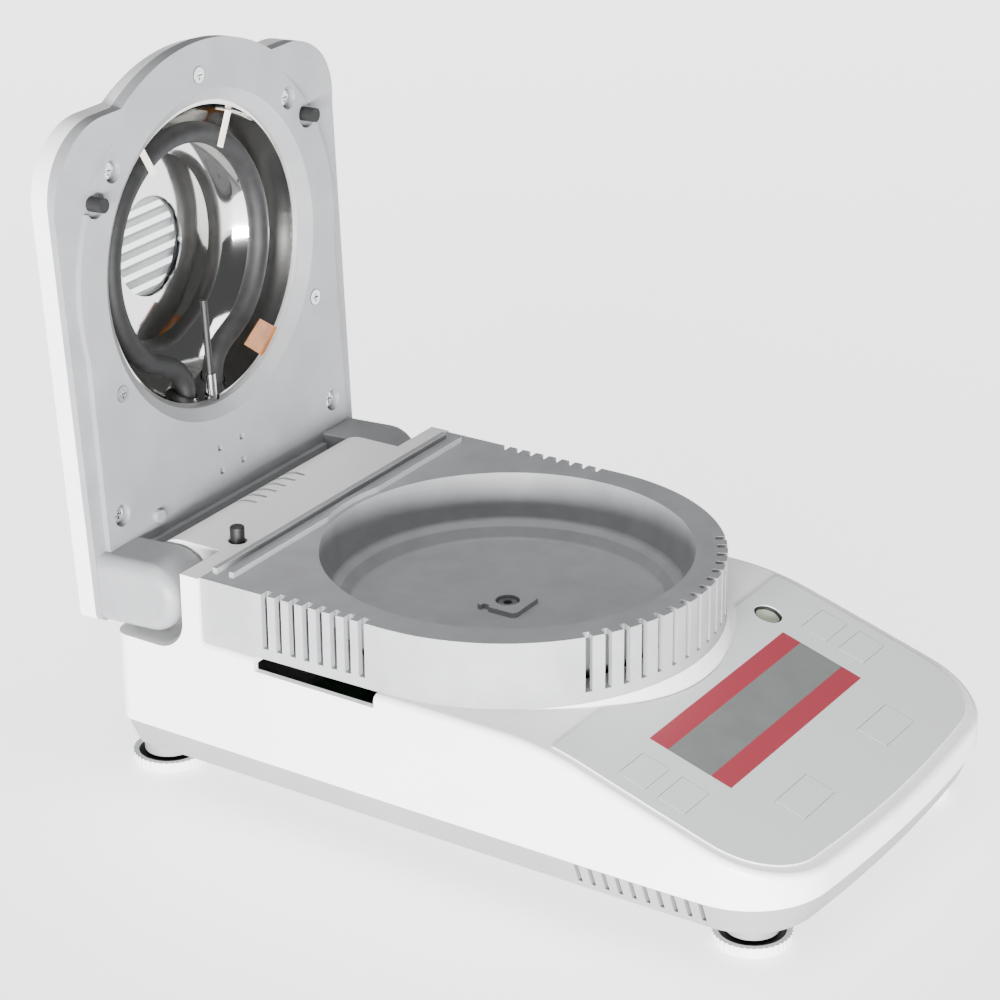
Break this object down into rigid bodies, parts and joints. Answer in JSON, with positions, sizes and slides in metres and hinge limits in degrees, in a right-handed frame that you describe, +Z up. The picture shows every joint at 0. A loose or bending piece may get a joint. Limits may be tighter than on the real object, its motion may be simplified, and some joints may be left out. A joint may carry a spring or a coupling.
{
  "type": "moisture analyzer",
  "caption": "Bench moisture analyzer with a round drying chamber, a sloping keypad with a display, and a lid with a loop heater that swings up on two arms.",
  "frame": {"origin": "on the table, under the middle of the whole object with its lid open", "axes": "+Z up, -Y towards the keypad end, +X to the right seen from the keypad end"},
  "size_m": [0.1696, 0.3304, 0.2562],
  "materials": {
    "housing_plastic": "gloss",
    "tray_plastic": "matte",
    "chamber_plastic": "matte",
    "overlay_film": "matte",
    "band_film": "matte",
    "window_clear": "gloss",
    "circuit_board": "satin",
    "black_plastic": "matte",
    "rubber": "matte",
    "knurl_plastic": "satin",
    "cell_aluminium": "satin",
    "cast_metal": "matte",
    "steel": "satin",
    "bright_steel": "polished",
    "lid_frame_plastic": "matte",
    "reflector_steel": "polished",
    "lid_glass": "gloss",
    "dark_steel": "satin",
    "heater_sheath": "satin",
    "clip_ceramic": "matte",
    "ceramic": "matte",
    "amber_film": "gloss",
    "brass": "satin",
    "vial_acrylic": "gloss"
  },
  "bodies": {
    "base": {"base_tray": "tray_plastic", "case_screws": "steel", "control_overlay": "overlay_film", "data_port": "steel", "display_bands": "band_film", "display_module": "black_plastic", "display_window": "window_clear", "drying_chamber": "chamber_plastic", "fuse_holder": "black_plastic", "hinge_bushes": "brass", "inlet_blades": "brass", "key_board": "circuit_board", "level_cup": "black_plastic", "level_vial": "vial_acrylic", "lid_switch": "black_plastic", "load_cell": "cell_aluminium", "load_cell_mount": "cast_metal", "main_board": "circuit_board", "mains_inlet": "black_plastic", "pan_spindle": "steel", "plunger_spring": "steel", "power_supply": "circuit_board", "upper_housing": "housing_plastic"},
    "lid": {"lid_shell": "housing_plastic", "lid_frame": "lid_frame_plastic", "reflector": "reflector_steel", "window_glass": "lid_glass", "window_ring": "dark_steel", "heater_tube": "heater_sheath", "heater_clips": "clip_ceramic", "heater_terminals": "ceramic", "temperature_sensor": "black_plastic", "sensor_bracket": "bright_steel", "insulation_tape": "amber_film", "reflector_screws": "bright_steel", "frame_screws": "bright_steel", "lid_bumpers": "rubber", "hinge_pins": "steel"},
    "switch_plunger_body": {"switch_plunger": "black_plastic"},
    "key_left_upper_body": {"key_left_upper": "overlay_film"},
    "key_left_lower_body": {"key_left_lower": "overlay_film"},
    "key_right_upper_body": {"key_right_upper": "overlay_film"},
    "key_right_lower_body": {"key_right_lower": "overlay_film"},
    "key_left_front_body": {"key_left_front": "overlay_film"},
    "key_right_front_body": {"key_right_front": "overlay_film"},
    "foot_front_left_pad": {"foot_pad_front_left": "rubber"},
    "foot_front_left_wheel": {"foot_rim_front_left": "knurl_plastic", "foot_core_front_left": "black_plastic"},
    "foot_front_right_pad": {"foot_pad_front_right": "rubber"},
    "foot_front_right_wheel": {"foot_rim_front_right": "knurl_plastic", "foot_core_front_right": "black_plastic"},
    "foot_rear_left_pad": {"foot_pad_rear_left": "rubber"},
    "foot_rear_left_wheel": {"foot_rim_rear_left": "knurl_plastic", "foot_core_rear_left": "black_plastic"},
    "foot_rear_right_pad": {"foot_pad_rear_right": "rubber"},
    "foot_rear_right_wheel": {"foot_rim_rear_right": "knurl_plastic", "foot_core_rear_right": "black_plastic"}
  },
  "joints": [
    {"name": "lid_hinge", "type": "hinge", "parent": "base", "child": "lid", "pos_m": [0, 0.10029, 0.074], "axis": [1, 0, 0], "range_deg": [0, 93]},
    {"name": "plunger_slide", "type": "slide", "parent": "base", "child": "switch_plunger_body", "axis": [0, 0, -1], "range_m": [0, 0.0037], "deforming": ["plunger_spring"]},
    {"name": "key_left_upper_press", "type": "slide", "parent": "base", "child": "key_left_upper_body", "axis": [0, 0.3027, -0.9531], "range_m": [0, 0.0005], "stiffness_N_per_m": 1200},
    {"name": "key_left_lower_press", "type": "slide", "parent": "base", "child": "key_left_lower_body", "axis": [0, 0.3027, -0.9531], "range_m": [0, 0.0005], "stiffness_N_per_m": 1200},
    {"name": "key_right_upper_press", "type": "slide", "parent": "base", "child": "key_right_upper_body", "axis": [0, 0.3027, -0.9531], "range_m": [0, 0.0005], "stiffness_N_per_m": 1200},
    {"name": "key_right_lower_press", "type": "slide", "parent": "base", "child": "key_right_lower_body", "axis": [0, 0.3027, -0.9531], "range_m": [0, 0.0005], "stiffness_N_per_m": 1200},
    {"name": "key_left_front_press", "type": "slide", "parent": "base", "child": "key_left_front_body", "axis": [0, 0.3027, -0.9531], "range_m": [0, 0.0005], "stiffness_N_per_m": 1200},
    {"name": "key_right_front_press", "type": "slide", "parent": "base", "child": "key_right_front_body", "axis": [0, 0.3027, -0.9531], "range_m": [0, 0.0005], "stiffness_N_per_m": 1200},
    {"name": "foot_front_left_rise", "type": "slide", "parent": "base", "child": "foot_front_left_pad", "axis": [0, 0, 1], "range_m": [-0.004, 0]},
    {"name": "foot_front_left_turn", "type": "hinge", "parent": "foot_front_left_pad", "child": "foot_front_left_wheel", "pos_m": [-0.0613, -0.13811, 0.003], "axis": [0, 0, 1], "range_deg": [0, 1440]},
    {"name": "foot_front_right_rise", "type": "slide", "parent": "base", "child": "foot_front_right_pad", "axis": [0, 0, 1], "range_m": [-0.004, 0]},
    {"name": "foot_front_right_turn", "type": "hinge", "parent": "foot_front_right_pad", "child": "foot_front_right_wheel", "pos_m": [0.0613, -0.13811, 0.003], "axis": [0, 0, 1], "range_deg": [0, 1440]},
    {"name": "foot_rear_left_rise", "type": "slide", "parent": "base", "child": "foot_rear_left_pad", "axis": [0, 0, 1], "range_m": [-0.004, 0]},
    {"name": "foot_rear_left_turn", "type": "hinge", "parent": "foot_rear_left_pad", "child": "foot_rear_left_wheel", "pos_m": [-0.0613, 0.10769, 0.003], "axis": [0, 0, 1], "range_deg": [0, 1440]},
    {"name": "foot_rear_right_rise", "type": "slide", "parent": "base", "child": "foot_rear_right_pad", "axis": [0, 0, 1], "range_m": [-0.004, 0]},
    {"name": "foot_rear_right_turn", "type": "hinge", "parent": "foot_rear_right_pad", "child": "foot_rear_right_wheel", "pos_m": [0.0613, 0.10769, 0.003], "axis": [0, 0, 1], "range_deg": [0, 1440]}
  ],
  "couplings": [
    {"joint": "plunger_slide", "follows": "lid_hinge", "m_per_rad": 0.002273},
    {"joint": "foot_front_left_turn", "follows": "foot_front_left_rise", "rad_per_m": -6283},
    {"joint": "foot_front_right_turn", "follows": "foot_front_right_rise", "rad_per_m": -6283},
    {"joint": "foot_rear_left_turn", "follows": "foot_rear_left_rise", "rad_per_m": -6283},
    {"joint": "foot_rear_right_turn", "follows": "foot_rear_right_rise", "rad_per_m": -6283}
  ]
}
